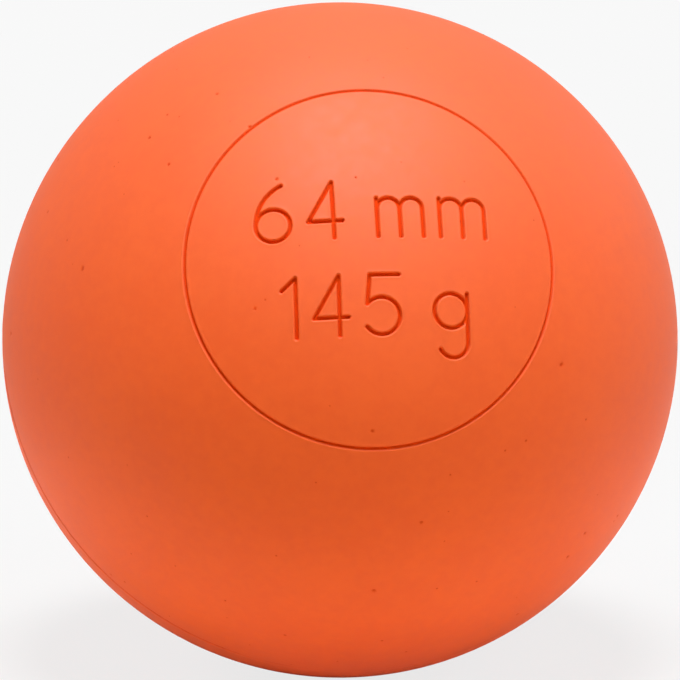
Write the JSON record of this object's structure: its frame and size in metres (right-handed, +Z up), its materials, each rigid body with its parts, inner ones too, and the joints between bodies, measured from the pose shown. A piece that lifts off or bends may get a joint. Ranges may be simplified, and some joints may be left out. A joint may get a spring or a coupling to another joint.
{
  "type": "lacrosse ball",
  "caption": "Solid orange rubber ball for field lacrosse, with an engraved ring around a plain size and weight mark and a fine moulding line.",
  "frame": {"origin": "centre of the ball", "axes": "+Z up as the ball lies; the engraved mark looks along -Y and 26 degrees up; +X to the right of someone reading the mark"},
  "size_m": [0.0638, 0.0636, 0.0636],
  "materials": {
    "orange_rubber": "matte"
  },
  "bodies": {
    "root": {"ball": "orange_rubber"}
  },
  "joints": []
}
